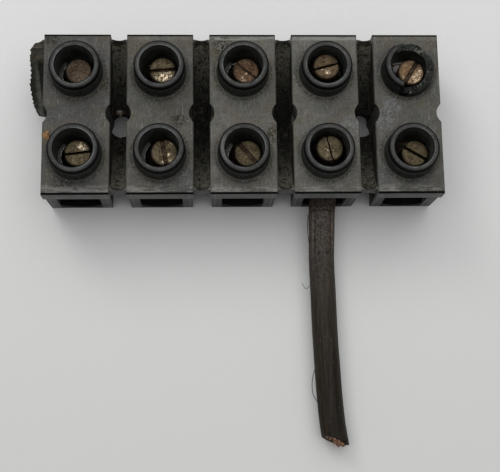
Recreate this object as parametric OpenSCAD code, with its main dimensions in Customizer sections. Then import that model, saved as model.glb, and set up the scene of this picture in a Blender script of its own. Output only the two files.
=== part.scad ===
// Barrier terminal strip: five moulded blocks joined by thin curved webs.
// Each block holds a drilled brass barrel with a clamp screw under each of its
// two collars. +X runs along the strip, the wire leaves towards -Y, and the
// underside of the blocks is z = 0 with the middle block centred on the origin.
// All lengths are in millimetres.

/* [Blocks] */
// Distance from one pole to the next
pitch = 11.7; // [11:0.1:13]
// Width of a block across its top plate
block_w = 9.4; // [8.8:0.1:10]
// Depth of a block from one wire face to the other
block_d = 23.5; // [22.5:0.5:28]
// Height of a block's top surface above its underside
body_h = 10.2; // [9.6:0.1:12]
// Thickness of the top plate that overhangs the lower body
plate_t = 2.7; // [2.2:0.1:3.2]
// Overhang of the top plate over each wire face
plate_lip = 0.35; // [0.1:0.05:0.6]
// Overhang of the top plate over each side wall
plate_side = 0.1; // [0.05:0.05:0.2]
// Lean of each lower wall between the plate and the underside
draft = 0.15; // [0:0.05:0.25]
// Rounding of the top plate's upper edges
edge_round = 0.25; // [0.1:0.05:0.4]
// Chamfer of the blocks' upright corners and of their lower edges
corner_cut = 0.15; // [0.1:0.05:0.3]

/* [Collars] */
// Distance between a block's front and back collars
collar_spacing = 12; // [11.4:0.1:12.8]
// Height of a collar above the top plate
collar_h = 3.3; // [2.8:0.1:4.5]
// Outer diameter of a collar at its rim
rim_d = 7.1; // [6.9:0.1:7.4]
// How much wider a collar is at its foot than at its rim
collar_taper = 0.3; // [0:0.1:0.6]
// Rounding of a collar's rim, inside and out
rim_round = 0.24; // [0.1:0.02:0.32]
// Fillet where a collar meets the top plate
foot_fillet = 0.3; // [0.1:0.05:0.4]
// Diameter of the screw well
well_d = 5.3; // [5.3:0.1:5.7]

/* [Wire entries] */
// Width of a wire entry between its straight sides
entry_w = 6.1; // [6:0.1:6.6]
// Radius of the arched floor of a wire entry
entry_r = 3.8; // [3.6:0.1:4.2]
// Thickness of the floor under a wire entry at its lowest line
entry_floor = 0.95; // [0.7:0.05:1.3]

/* [Webs and fixing holes] */
// Depth of a web's ends below the top surface
web_end_drop = 0.75; // [0.5:0.05:1.2]
// Height of the middle of a web above the underside
web_mid_z = 4.2; // [3.4:0.1:5]
// Thickness of a web along its thinnest line
web_t = 1.25; // [0.9:0.05:1.6]
// Thickness of the skin across a fixing hole that was never opened
skin_t = 0.5; // [0.3:0.05:0.9]
// Setback of a web's ends from the wire faces
web_setback = 0.7; // [0.4:0.1:1.5]
// Diameter of the fixing holes and of the notches in every block's sides
fixing_d = 3.6; // [3.2:0.1:4]

/* [Barrels] */
// Outer diameter of a brass barrel
barrel_d = 5.4; // [5.2:0.1:5.5]
// Length of a brass barrel
barrel_len = 18; // [17:0.5:20]
// Diameter of the wire bore through a barrel
bore_d = 3.1; // [2.8:0.1:3.3]
// How far the wire bore lies below the barrel's own axis
bore_drop = 0.4; // [0.2:0.1:0.5]
// Sideways play that the loose barrels have taken up
barrel_play = 0.3; // [0:0.05:0.3]
// How far the wired barrel has been pushed back along its block
wired_push = 0.45; // [0:0.05:0.6]
// Bevel at a barrel's ends
barrel_bevel = 0.25; // [0.1:0.05:0.4]
// Depth that a loose barrel has bedded into the entry floor
bedding = 0.02; // [0.01:0.01:0.03]

/* [Clamp screws] */
// Outside diameter of a clamp screw
screw_d = 3.76; // [3.6:0.02:3.8]
// Length of a clamp screw
screw_len = 5.3; // [5:0.1:5.6]
// Radial clearance between a screw and its tapped hole
screw_clear = 0.05; // [0.02:0.01:0.1]
// Width of the driver slot
slot_w = 0.65; // [0.4:0.05:0.9]
// Depth of the driver slot
slot_depth = 0.9; // [0.5:0.1:1.2]
// Bevel at both ends of a screw
screw_bevel = 0.15; // [0.05:0.05:0.3]

/* [Wire] */
// Diameter over the wire's insulation
wire_d = 3.8; // [3.6:0.1:4]
// Diameter of the stranded conductor
conductor_d = 2.5; // [2.2:0.1:2.7]
// Length of bare conductor that stands inside the barrel and its mouth
bare_len = 8; // [6:0.5:12]

/* [Hidden] */
$fn = 64;

// Colours
mould_black = [0.15, 0.15, 0.16];
old_brass = [0.52, 0.4, 0.24];
tarnish = [0.42, 0.33, 0.22];
wire_brown = [0.24, 0.19, 0.17];
copper = [0.72, 0.42, 0.27];

// Poles run 1 to 5 from -X to +X; the wire is held in pole 4.
poles = [1:5];
wired_pole = 4;
function pole_x(n) = (n - 3) * pitch;

// As they stand: depth of each screw's top below its collar's rim, its
// sideways offset from the collar's centre, and the turn of its slot.
back_sink = [2.9, 2.4, 2.7, 2.1, 3.2];
back_off = [0.3, 0.4, 0.45, 0.1, 0.65];
back_turn = [8, 5, -38, 15, 58];
front_sink = [2.6, 2.4, 3, 2.1, 3.2];
front_off = [0.4, 0.65, 0.55, 0.25, 0.65];
front_turn = [7, -80, -50, -77, -31];

// Blocks
plate_z = body_h - plate_t;
rim_z = body_h + collar_h;
gap = pitch - block_w;
lower_gap = gap + 2 * (plate_side + draft);
over = 1;

// Webs: an arc in the Y-Z plane, as wide as the gap, hollowed above and below
web_half = block_d / 2 - web_setback;
web_sag = body_h - web_end_drop - web_mid_z;
web_r = (web_half * web_half + web_sag * web_sag) / (2 * web_sag);
web_root = 0.3;
web_round = lower_gap / 2;
web_top_drop = 0.3;
open_gaps = [1, 4];
closed_gaps = [2, 3];
function gap_x(n) = pole_x(n) + pitch / 2;

// Barrels: a loose one lies on the entry floor, the wired one is lifted by its
// wire until it meets the underside of the top plate.
entry_z = entry_floor + entry_r;
loose_reach = entry_r - barrel_d / 2 + bedding;
loose_z = entry_z - sqrt(loose_reach * loose_reach - barrel_play * barrel_play);
wired_z = plate_z - barrel_d / 2 + bedding;
function wired(n) = n == wired_pole;
function barrel_x(n) = pole_x(n) + (wired(n) ? 0 : barrel_play);
function barrel_y(n) = wired(n) ? wired_push : 0;
function barrel_z(n) = wired(n) ? wired_z : loose_z;
function bore_z(n) = barrel_z(n) - bore_drop;

// Screws
tapped_d = screw_d + 2 * screw_clear;
function row_y(row) = row * collar_spacing / 2;
function sink(n, row) = row > 0 ? back_sink[n - 1] : front_sink[n - 1];
function screw_x(n, row) = pole_x(n) + (row > 0 ? back_off[n - 1] : front_off[n - 1]);
function screw_y(n, row) = row_y(row) + barrel_y(n);
function slot_turn(n, row) = row > 0 ? back_turn[n - 1] : front_turn[n - 1];

// Wire: the bare conductor lies on the wired bore's floor. The insulation
// begins at its end, leaves the entry, and comes down onto the table.
conductor_x = pole_x(wired_pole);
conductor_z = bore_z(wired_pole) - bore_d / 2 + conductor_d / 2 - bedding;
route = [[11.7, -9.4, 4.1], [11.65, -10.9, 4.1], [11.55, -12.4, 3.95], [11.45, -14, 3.6],
    [11.4, -15.8, 3.1], [11.4, -17.6, 2.65], [11.4, -19.5, 2.25], [11.45, -21.5, 2],
    [11.55, -23.5, 1.9], [11.65, -26, 1.9], [11.8, -29, 1.9], [11.95, -32, 1.9],
    [12.1, -35, 1.9], [12.25, -38, 1.9], [12.4, -41, 1.9], [12.5, -43.4, 1.9],
    [12.6, -45.4, 1.9]];
wire_sides = 8;

// Outline of a block seen end on: a leaning lower wall under a plate that
// overhangs it by lip, with its upper corners rounded and its lower ones cut.
module block_outline(half, lip) {
    foot = half - lip - draft;
    polygon([[-(foot - corner_cut), 0], [foot - corner_cut, 0], [foot, corner_cut],
        [half - lip, plate_z + 0.01], [-(half - lip), plate_z + 0.01], [-foot, corner_cut]]);
    translate([-half, plate_z])
        square([2 * half, plate_t - edge_round]);
    translate([-(half - edge_round), plate_z])
        square([2 * (half - edge_round), plate_t]);
    for (side = [-1, 1])
        translate([side * (half - edge_round), body_h - edge_round])
            circle(edge_round, $fn = 32);
}

module block() {
    intersection() {
        rotate([90, 0, 0])
            linear_extrude(block_d + 2 * over, center = true)
                block_outline(block_w / 2, plate_side);
        rotate([90, 0, 90])
            linear_extrude(block_w + 2 * over, center = true)
                block_outline(block_d / 2, plate_lip);
    }
}

// A solid collar: a tapering post with a rounded rim and a filleted foot.
module collar() {
    rim_r = rim_d / 2;
    foot_r = rim_r + collar_taper / 2;
    translate([0, 0, body_h])
        rotate_extrude() {
            polygon([[0, -0.5], [foot_r, -0.5], [foot_r, 0],
                [rim_r, collar_h - rim_round], [0, collar_h - rim_round]]);
            square([rim_r - rim_round, collar_h]);
            translate([rim_r - rim_round, collar_h - rim_round])
                intersection() {
                    circle(rim_round, $fn = 32);
                    translate([-rim_round / 2, -rim_round / 2])
                        square(2 * rim_round);
                }
            difference() {
                translate([foot_r - 0.1, -0.1])
                    square(foot_fillet + 0.1);
                translate([foot_r + foot_fillet, foot_fillet])
                    circle(foot_fillet, $fn = 32);
            }
        }
}

// What is cut away for a screw: the well, flared by the rounded rim.
module well() {
    well_r = well_d / 2;
    translate([0, 0, rim_z])
        rotate_extrude() {
            translate([0, -(rim_z - entry_z)])
                square([well_r, rim_z - entry_z + over]);
            difference() {
                translate([0, -rim_round])
                    square([well_r + rim_round, rim_round + over]);
                translate([well_r + rim_round, -rim_round])
                    circle(rim_round, $fn = 32);
            }
        }
}

// The channel from wire face to wire face: straight sides, a flat ceiling and
// an arched floor.
module entry_channel() {
    rotate([90, 0, 0])
        linear_extrude(block_d + 2 * over, center = true) {
            translate([-entry_w / 2, entry_z])
                square([entry_w, plate_z - entry_z]);
            intersection() {
                translate([-entry_w / 2, 0])
                    square([entry_w, entry_z + 0.01]);
                translate([0, entry_z])
                    circle(entry_r);
            }
        }
}

module fixing_hole(depth = body_h) {
    translate([0, 0, -over])
        cylinder(h = depth + 2 * over, d = fixing_d);
}

// A web: the gap's width swept along an arc about the X axis, with a rounded
// trough above and a rounded arch below.
module web_arc() {
    sweep = 62;
    centre_z = web_mid_z + web_r;
    side = lower_gap / 2 + web_root;
    translate([0, 0, centre_z])
        rotate([0, 90, 0])
            rotate([0, 0, -sweep])
                rotate_extrude(angle = 2 * sweep, $fn = 180)
                    difference() {
                        translate([web_r - web_round, -side])
                            square([2 * web_round + web_t, 2 * side]);
                        translate([web_r - web_round, 0])
                            circle(web_round, $fn = 40);
                        translate([web_r + web_t + web_round, 0])
                            circle(web_round, $fn = 40);
                    }
}

module web() {
    side = lower_gap / 2 + web_root;
    intersection() {
        web_arc();
        translate([-side - over, -web_half, 0])
            cube([2 * (side + over), 2 * web_half, body_h - web_top_drop]);
    }
}

module open_web() {
    difference() {
        web();
        fixing_hole();
    }
}

// A web whose fixing hole was never opened: a skin closes the notches beside it.
module closed_web() {
    web();
    translate([0, 0, web_mid_z - web_t])
        cylinder(h = skin_t, d = fixing_d + 2 * bedding);
}

// What is left of the web that joined a sixth block, at the -X end.
module broken_web() {
    wall = block_w / 2 - plate_side;
    intersection() {
        translate([-pitch / 2, 0, 0])
            open_web();
        translate([-wall, 0, -over])
            linear_extrude(body_h + 2 * over)
                polygon([[0.5, web_half + 0.1], [-0.7, 10.9], [-1.5, 10.8], [-2.05, 10.2],
                    [-2.35, 9], [-2.25, 7.4], [-2.5, 5.9], [-2.35, 4.5], [-2.1, 3.2],
                    [-1.7, 2.1], [-0.9, 1.4], [0.5, 1.2]]);
    }
}

// A broken collar: the rim stands only where the break left it, and the rest
// has gone down to a rough stump. Each facet of the break spans break_step
// degrees and gives the height left there and its slope outwards and along.
break_from = -109;
break_step = 26;
break_overlap = 1.5;
facets = [[1.3, -9, 6], [1.15, 6, -9], [1.45, -6, 10], [1.3, 9, -6], [1.7, -8, 8],
    [1.55, 7, -8], [1.8, -7, 7], [1.7, 8, -9], [2.2, -6, 12]];

module break_facet(height, slope_out, slope_along) {
    reach = rim_d;
    half = break_step / 2 + break_overlap;
    intersection() {
        translate([0, 0, body_h])
            linear_extrude(2 * collar_h)
                polygon([[0, 0], [reach * cos(half), -reach * sin(half)],
                    [reach * cos(half), reach * sin(half)]]);
        translate([rim_d / 2, 0, body_h + height])
            rotate([slope_along, slope_out, 0])
                translate([-reach, -reach, 0])
                    cube([2 * reach, 2 * reach, 2 * collar_h]);
    }
}

module collar_break() {
    for (i = [0:len(facets) - 1])
        rotate([0, 0, break_from + (i + 0.5) * break_step])
            break_facet(facets[i][0], facets[i][1], facets[i][2]);
}

module housing() {
    color(mould_black)
        difference() {
            union() {
                difference() {
                    union() {
                        for (n = poles)
                            translate([pole_x(n), 0, 0])
                                block();
                        for (n = poles, row = [-1, 1])
                            translate([pole_x(n), row_y(row), 0])
                                collar();
                    }
                    for (n = [0:5])
                        translate([gap_x(n), 0, 0])
                            fixing_hole();
                    translate([pole_x(5), row_y(1), 0])
                        collar_break();
                }
                for (n = open_gaps)
                    translate([gap_x(n), 0, 0])
                        open_web();
                for (n = closed_gaps)
                    translate([gap_x(n), 0, 0])
                        closed_web();
                translate([pole_x(1), 0, 0])
                    broken_web();
            }
            for (n = poles)
                translate([pole_x(n), 0, 0])
                    entry_channel();
            for (n = poles, row = [-1, 1])
                translate([pole_x(n), row_y(row), 0])
                    well();
        }
}

// A round bar along Z with both ends bevelled.
module bevelled_bar(d, length, bevel) {
    rotate_extrude()
        polygon([[0, 0], [d / 2 - bevel, 0], [d / 2, bevel], [d / 2, length - bevel],
            [d / 2 - bevel, length], [0, length]]);
}

module terminal_barrel(n) {
    color(old_brass)
        difference() {
            translate([barrel_x(n), barrel_y(n) + barrel_len / 2, barrel_z(n)])
                rotate([90, 0, 0])
                    bevelled_bar(barrel_d, barrel_len, barrel_bevel);
            translate([barrel_x(n), barrel_y(n), bore_z(n)])
                rotate([90, 0, 0])
                    cylinder(h = barrel_len + 2 * over, d = bore_d, center = true);
            for (row = [-1, 1])
                translate([screw_x(n, row), screw_y(n, row), bore_z(n)])
                    cylinder(h = barrel_d, d = tapped_d);
        }
}

module clamp_screw(n, row) {
    top_z = rim_z - sink(n, row);
    color(tarnish)
        translate([screw_x(n, row), screw_y(n, row), top_z - screw_len])
            difference() {
                bevelled_bar(screw_d, screw_len, screw_bevel);
                rotate([0, 0, slot_turn(n, row)])
                    translate([-screw_d, -slot_w / 2, screw_len - slot_depth])
                        cube([2 * screw_d, slot_w, slot_depth + over]);
            }
}

// A tube swept along the route: each ring stands square to the route there,
// and its sides keep level.
function along(i) = i == 0 ? [0, -1, 0]
    : i == len(route) - 1 ? unit(route[i] - route[i - 1])
    : unit(route[i + 1] - route[i - 1]);
function unit(v) = v / norm(v);
function ring(i) =
    let (t = along(i), side = unit(cross(t, [0, 0, 1])), up = cross(side, t))
    [for (k = [0:wire_sides - 1])
        let (a = k * 360 / wire_sides - 90, r = wire_d / 2)
        route[i] + r * cos(a) * side + r * sin(a) * up];

module wire_insulation() {
    rings = len(route);
    sides = wire_sides;
    color(wire_brown)
        polyhedron(
            points = [for (i = [0:rings - 1]) each ring(i)],
            faces = [
                [for (k = [0:sides - 1]) k],
                for (i = [0:rings - 2], k = [0:sides - 1])
                    let (a = i * sides + k, b = i * sides + (k + 1) % sides)
                    [a, a + sides, b + sides, b],
                [for (k = [sides - 1:-1:0]) (rings - 1) * sides + k]
            ]);
}

module wire_conductor() {
    color(copper)
        translate([conductor_x, route[0][1], conductor_z])
            rotate([-90, 0, 0])
                cylinder(h = bare_len, d = conductor_d);
}

housing();
terminal_barrel(1);  // terminal_barrel_1
terminal_barrel(2);  // terminal_barrel_2
terminal_barrel(3);  // terminal_barrel_3
terminal_barrel(4);  // terminal_barrel_4
terminal_barrel(5);  // terminal_barrel_5
clamp_screw(1, 1);  // clamp_screw_back_1
clamp_screw(2, 1);  // clamp_screw_back_2
clamp_screw(3, 1);  // clamp_screw_back_3
clamp_screw(4, 1);  // clamp_screw_back_4
clamp_screw(5, 1);  // clamp_screw_back_5
clamp_screw(1, -1);  // clamp_screw_front_1
clamp_screw(2, -1);  // clamp_screw_front_2
clamp_screw(3, -1);  // clamp_screw_front_3
clamp_screw(4, -1);  // clamp_screw_front_4
clamp_screw(5, -1);  // clamp_screw_front_5
wire_insulation();
wire_conductor();
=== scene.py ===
"""Finishes, wire, dirt and studio for a five-pole screw terminal strip.

Everything is in metres in the strip's own frame: +X along the strip, the wire
leaves towards -Y, +Z up out of the collars, z = 0 on the table.
"""

import math
import random

import bmesh
import bpy
from mathutils import Matrix, Vector, noise
from mathutils.bvhtree import BVHTree


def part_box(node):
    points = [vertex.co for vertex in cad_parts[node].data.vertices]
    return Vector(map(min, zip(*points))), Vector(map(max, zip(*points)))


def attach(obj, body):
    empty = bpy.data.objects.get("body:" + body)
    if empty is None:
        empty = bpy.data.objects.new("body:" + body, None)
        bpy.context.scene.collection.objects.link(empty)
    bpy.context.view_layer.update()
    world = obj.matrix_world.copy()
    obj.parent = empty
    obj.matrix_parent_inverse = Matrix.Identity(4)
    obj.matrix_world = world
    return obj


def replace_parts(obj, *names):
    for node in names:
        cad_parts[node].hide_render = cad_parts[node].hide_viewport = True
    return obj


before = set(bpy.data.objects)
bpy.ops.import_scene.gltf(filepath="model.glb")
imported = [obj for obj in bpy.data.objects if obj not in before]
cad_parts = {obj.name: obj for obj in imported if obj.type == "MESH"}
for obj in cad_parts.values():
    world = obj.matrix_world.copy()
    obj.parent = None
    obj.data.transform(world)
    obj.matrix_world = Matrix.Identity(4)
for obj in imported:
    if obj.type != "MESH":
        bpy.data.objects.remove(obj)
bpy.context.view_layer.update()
MM = 0.001
IN_MM = 1000

# ---------------------------------------------------------------------------
# Sizes of the strip that the pieces below are fitted to

PITCH_MM = 11.7
PITCH = PITCH_MM * MM
BLOCK_W = 9.4 * MM
BLOCK_D = 23.5 * MM
TOP_Z = 10.2 * MM
RIM_Z = 13.5 * MM
COLLAR_Y_MM = 6.0
COLLAR_Y = COLLAR_Y_MM * MM
END_X_MM = -28.1
# A little less than the wells' own radius
WELL_R = 2.62 * MM
GAP = PITCH - BLOCK_W
POLES = (1, 2, 3, 4, 5)
GAPS = (1, 2, 3, 4)
MIDDLE_POLE = 3
MIDDLE_GAP = 2.5
BELOW_TOP = TOP_Z - 0.4 * MM
ABOVE_TOP = TOP_Z + 0.4 * MM


def pole_x(pole, pitch=PITCH):
    return (pole - MIDDLE_POLE) * pitch


def gap_x(gap, pitch=PITCH):
    return (gap - MIDDLE_GAP) * pitch


# ---------------------------------------------------------------------------
# Camera

def place_camera():
    """Above the strip and a little in front of it."""
    camera = bpy.data.cameras.new("camera")
    camera.lens = 76.57
    camera.sensor_width = 36
    camera.clip_start = 0.01
    holder = bpy.data.objects.new("camera", camera)
    holder.location = Vector((-5.40, -47.14, 153.26)) * MM
    holder.rotation_euler = (0.2033, -0.0396, -0.0145)
    bpy.context.scene.collection.objects.link(holder)
    bpy.context.scene.camera = holder


place_camera()

# ---------------------------------------------------------------------------
# Shader arithmetic


class Value:
    """A shader socket that takes part in Python arithmetic."""

    def __init__(self, finish, socket):
        self.finish = finish
        self.socket = socket

    def math(self, operation, *others, clamp=False):
        settings = {"operation": operation, "use_clamp": clamp}
        node = self.finish.node("ShaderNodeMath", settings, {0: self, **dict(enumerate(others, 1))})
        return Value(self.finish, node.outputs[0])

    def __add__(self, other):
        return self.math("ADD", other)

    def __radd__(self, other):
        return self.math("ADD", other)

    def __sub__(self, other):
        return self.math("SUBTRACT", other)

    def __rsub__(self, other):
        node = self.finish.node("ShaderNodeMath", {"operation": "SUBTRACT"}, {0: other, 1: self})
        return Value(self.finish, node.outputs[0])

    def __mul__(self, other):
        return self.math("MULTIPLY", other)

    def held(self):
        """Clamped between 0 and 1."""
        return self.math("ADD", 0.0, clamp=True)

    def size(self):
        return self.math("ABSOLUTE")

    def above(self, edge, soft):
        """0 below edge - soft, 1 above edge + soft, smooth between."""
        sockets = {"Value": self, "From Min": edge - soft, "From Max": edge + soft}
        node = self.finish.node("ShaderNodeMapRange", {"interpolation_type": "SMOOTHSTEP"}, sockets)
        return Value(self.finish, node.outputs[0])

    def below(self, edge, soft):
        return 1 - self.above(edge, soft)

    def within(self, low, high, soft):
        return self.above(low, soft) * self.below(high, soft)


class Finish:
    """A material under construction: a Principled shader and the nodes that feed it."""

    def __init__(self, name):
        self.material = bpy.data.materials.new(name)
        self.material.use_nodes = True
        self.tree = self.material.node_tree
        self.tree.nodes.clear()
        self.shader = self.node("ShaderNodeBsdfPrincipled")
        self.node("ShaderNodeOutputMaterial", {}, {"Surface": self.shader.outputs[0]})
        self.place = self.node("ShaderNodeTexCoord").outputs["Object"]
        axes = self.node("ShaderNodeSeparateXYZ", {}, {0: self.place})
        self.x, self.y, self.z = (Value(self, axis) for axis in axes.outputs)
        normal = self.node("ShaderNodeNewGeometry").outputs["Normal"]
        self.up = Value(self, self.node("ShaderNodeSeparateXYZ", {}, {0: normal}).outputs[2])

    def plug(self, socket, value):
        """Links a node's socket or a Value, and sets anything else as the socket's own value."""
        if isinstance(value, Value):
            value = value.socket
        if isinstance(value, bpy.types.NodeSocket):
            self.tree.links.new(value, socket)
        else:
            socket.default_value = value

    def node(self, kind, settings=None, sockets=None):
        made = self.tree.nodes.new(kind)
        for name, setting in (settings or {}).items():
            setattr(made, name, setting)
        for name, value in (sockets or {}).items():
            self.plug(made.inputs[name], value)
        return made

    def stretched(self, scale, offset=(0, 0, 0), turn=(0, 0, 0)):
        """The object's coordinates, moved, turned and scaled for a pattern."""
        sockets = {"Vector": self.place, "Location": offset, "Rotation": turn, "Scale": scale}
        return self.node("ShaderNodeMapping", {}, sockets).outputs[0]

    def noise(self, size, detail=4.0, roughness=0.55, vector=None):
        """Cloudy noise whose blotches are about size metres across."""
        sockets = {"Vector": vector or self.place, "Scale": 1 / size,
                   "Detail": detail, "Roughness": roughness}
        return Value(self, self.node("ShaderNodeTexNoise", {}, sockets).outputs[0])

    def cells(self, size):
        """Distance from the nearest of points scattered about size metres apart."""
        sockets = {"Vector": self.place, "Scale": 1 / size}
        return Value(self, self.node("ShaderNodeTexVoronoi", {}, sockets).outputs[0])

    def mix(self, mask, first, second):
        """Colour first where mask is 0 and second where it is 1."""
        made = self.node("ShaderNodeMix", {"data_type": "RGBA"}, {"Factor": mask})
        for socket, colour in ((made.inputs[6], first), (made.inputs[7], second)):
            self.plug(socket, (*colour, 1) if isinstance(colour, tuple) else colour)
        return made.outputs[2]

    def feed(self, name, value):
        self.plug(self.shader.inputs[name], value)

    def bump(self, height, distance, strength=1.0):
        sockets = {"Height": height, "Distance": distance, "Strength": strength}
        self.feed("Normal", self.node("ShaderNodeBump", {}, sockets).outputs[0])


# ---------------------------------------------------------------------------
# Finishes

def distance(across, along):
    return (across * across + along * along).math("SQRT")


def spot(f, x, y, reach, soft=0.4):
    """1 inside a round patch about (x, y) millimetres, falling to 0 at its edge."""
    return distance(f.x * IN_MM - x, f.y * IN_MM - y).below(reach, soft)


def round_patches(f, patches):
    """1 inside any of several spots."""
    total = spot(f, *patches[0])
    for patch in patches[1:]:
        total = total + spot(f, *patch)
    return total.held()


def from_pole(f):
    """Signed distance in metres along X from the nearest pole's middle."""
    return f.x.math("WRAP", PITCH / 2, -PITCH / 2)


def collar_reach(f):
    """Distance in millimetres from the nearest collar's axis, on either row."""
    return distance(from_pole(f) * IN_MM, f.y.size() * IN_MM - COLLAR_Y_MM)


def stub_colour(f):
    """The torn web at the end: painted shade in a trough by the block, then a paler band painted as
    light on its crest.
    """
    y = f.y * IN_MM
    away = END_X_MM - f.x * IN_MM - (y - 3.3) * 0.1
    lump = f.noise(0.6 * MM, 5, 0.65)
    grain = (lump * 0.5 + f.noise(0.18 * MM, 3, 0.6) * 0.5).above(0.5, 0.07)
    colour = f.mix(grain, (0.022, 0.022, 0.017), (0.070, 0.068, 0.053))
    # Painted light: a paler band along the crest beyond the trough.
    band = away.within(0.9, 1.45, 0.08) * y.below(8.6, 0.3)
    lit_crest = f.mix(lump.above(0.5, 0.1), (0.060, 0.064, 0.055), (0.095, 0.098, 0.088))
    colour = f.mix(band * 0.85, colour, lit_crest)
    # Painted shade: the trough beside the block, near black.
    trough = away.below(0.82, 0.08) * y.below(8.9, 0.6)
    colour = f.mix(trough * 0.85, colour, (0.008, 0.008, 0.006))
    return f.mix(y.above(8.9, 0.5) * (0.35 + grain * 0.5), colour, (0.105, 0.095, 0.072))


def stub_finish():
    """The rough skin on the torn web, in the same colours as the solid under it."""
    f = Finish("stub")
    fine = f.noise(0.18 * MM, 3, 0.6)
    f.feed("Base Color", stub_colour(f))
    f.feed("Specular IOR Level", 0.1)
    f.feed("Roughness", 0.75 + fine * 0.2)
    f.bump(fine, 0.10 * MM, 0.8)
    return f.material


class Moulding(Finish):
    """The moulding's material with the noises and regions that its colours share."""

    def __init__(self):
        super().__init__("moulding")
        x, y, z = self.mm = self.x * IN_MM, self.y * IN_MM, self.z * IN_MM
        reach = self.reach = collar_reach(self)
        self.across = from_pole(self).size() * IN_MM

        self.cloud = self.noise(4.5 * MM, 4)
        self.blotch = self.noise(1.3 * MM, 5, 0.65)
        self.fine = self.noise(0.24 * MM, 3, 0.7)
        moved = self.stretched((1, 1, 1), (0.03, 0.01, 0))
        self.other = self.noise(0.33 * MM, 3, 0.7, moved)
        along_strip = self.stretched((0.22, 1, 1), (0.003, 0, 0))
        self.lengthwise = self.noise(0.5 * MM, 3, 0.65, along_strip)
        slanted = self.stretched((1, 0.2, 1), (0.003, 0, 0), (0, 0, 0.5))
        self.brushed = self.noise(0.35 * MM, 3, 0.6, slanted)
        self.mottle = (self.cloud * 0.4 + self.blotch * 0.35 + self.brushed * 0.25).above(0.5, 0.1)

        self.top = self.up.above(0.9, 0.06) * z.within(9.9, 10.6, 0.15)
        self.wall = self.up.size().below(0.5, 0.2)
        self.rim = z.above(13.1, 0.25)
        self.band = self.rim * reach.within(2.8, 3.27, 0.06)
        self.rim_shade = self.wall * z.above(12.75, 0.15) * reach.above(2.9, 0.1)
        self.edge_shade_line = (y.above(11.43, 0.04) + y.below(-11.45, 0.04)) * z.within(10.0, 10.6, 0.06)
        self.face = self.up.size().below(0.3, 0.1) * y.size().above(11.0, 0.2) * z.below(10.3, 0.1)
        gap = self.across.above(BLOCK_W / MM / 2 - 0.2, 0.05) * x.size().below(27.9, 0.05)
        self.gap_dirt_and_shade = gap * z.below(9.6, 0.2) * (1 - self.face)
        self.well = reach.below(2.8, 0.1) * z.within(7.6, 13.3, 0.1)
        self.break_end_shade = spot(self, 22.75, 2.9, 0.75, 0.1) * z.within(10.6, 13.3, 0.1)


SMUDGES = ((-9.1, -1.0, 1.0, 0.8), (4.2, -3.0, 1.1, 0.9), (-2.9, 10.0, 1.5, 1.2),
           (-25.0, -10.0, 1.2, 1), (-18.9, 4.2, 1.0, 0.8), (-27.0, 10.8, 1.0, 0.8))
HAZES = ((15.6, -2.2, 1.7, 1.1), (19.8, -0.8, 1.5, 1.1), (21.2, 1.4, 1.2, 0.9),
         (19.4, -8.6, 1.3, 1.2), (-7.4, -9.4, 1.3, 1.2), (-19.2, 0.6, 1.0, 0.9))


def aged_tops_and_painted_light(f):
    """The blocks' tops: three tones along the strip under stains and scratches, with a painted
    highlight along the back edge, paler streaks along the front edge, and painted shade on the
    rounded edges and round the collars' feet.
    """
    x, y, _ = f.mm
    blotch, fine, other, top = f.blotch, f.fine, f.other, f.top
    cool = f.mix(f.mottle, (0.054, 0.0535, 0.051), (0.081, 0.080, 0.075))
    warm = f.mix(f.mottle, (0.063, 0.062, 0.056), (0.102, 0.099, 0.084))
    light = f.mix(f.mottle, (0.084, 0.083, 0.075), (0.138, 0.134, 0.116))
    colour = f.mix(x.above(-19.5, 2.5) * 0.9, cool, warm)
    colour = f.mix(x.within(-6.0, 17.0, 1.0) * 0.9, colour, light)
    brown = f.noise(2.4 * MM, 4, 0.6, f.stretched((1, 1, 1), (0.05, 0.02, 0))).above(0.54, 0.1)
    colour = f.mix(brown * top * 0.5, colour, (0.090, 0.074, 0.048))
    colour = f.mix(fine.above(0.57, 0.08) * top * 0.3, colour, (0.165, 0.162, 0.150))
    colour = f.mix(other.above(0.57, 0.07) * top * 0.32, colour, (0.022, 0.021, 0.019))
    smudge = round_patches(f, SMUDGES) * (other * 0.6 + fine * 0.4).above(0.49, 0.04)
    colour = f.mix(smudge * top, colour, (0.020, 0.015, 0.008))
    specks = f.cells(0.4 * MM).below(0.12, 0.04) * blotch.above(0.52, 0.08) * top
    colour = f.mix(specks * 0.7, colour, (0.27, 0.26, 0.23))
    one_way = f.stretched((1, 0.07, 1), (0, 0, 0), (0, 0, 0.9))
    another = f.stretched((1, 0.06, 1), (0.1, 0, 0), (0, 0, -0.6))
    scratched = (f.noise(0.16 * MM, 2, 0.5, one_way).above(0.66, 0.03)
                 + f.noise(0.15 * MM, 2, 0.5, another).above(0.67, 0.03)).held()
    colour = f.mix(scratched * blotch.above(0.5, 0.08) * top * 0.5, colour, (0.24, 0.24, 0.24))
    haze = round_patches(f, HAZES) * (fine * 0.7 + blotch * 0.3).above(0.52, 0.04)
    colour = f.mix(haze * top * 0.55, colour, (0.18, 0.19, 0.215))
    # Paler edges: a painted highlight along the back edge of the tops, strongest over the third and
    # fourth blocks, and paler streaks along the front edge.
    edge_highlight = x.within(-3.9, 16.4, 0.1) * 0.6 + x.within(-16, 28, 0.1) * 0.15
    pale_edges = y.within(10.85, 11.35, 0.12) * edge_highlight * f.lengthwise.above(0.44, 0.1)
    pale_edges = pale_edges + y.below(-10.6, 0.6) * f.lengthwise.above(0.52, 0.06) * 0.55
    colour = f.mix(pale_edges.held() * top, colour, (0.24, 0.235, 0.22))
    # Painted shade: a near-black line along the rounded front and back edges of the tops.
    colour = f.mix(f.edge_shade_line, colour, (0.004, 0.004, 0.004))
    # Painted shade: a dark, broken ring on the top round each collar's foot.
    foot_shade = f.reach.below(4.2, 0.3) * top * other.above(0.46, 0.1)
    return f.mix(foot_shade * 0.75, colour, (0.016, 0.014, 0.011))


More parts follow.
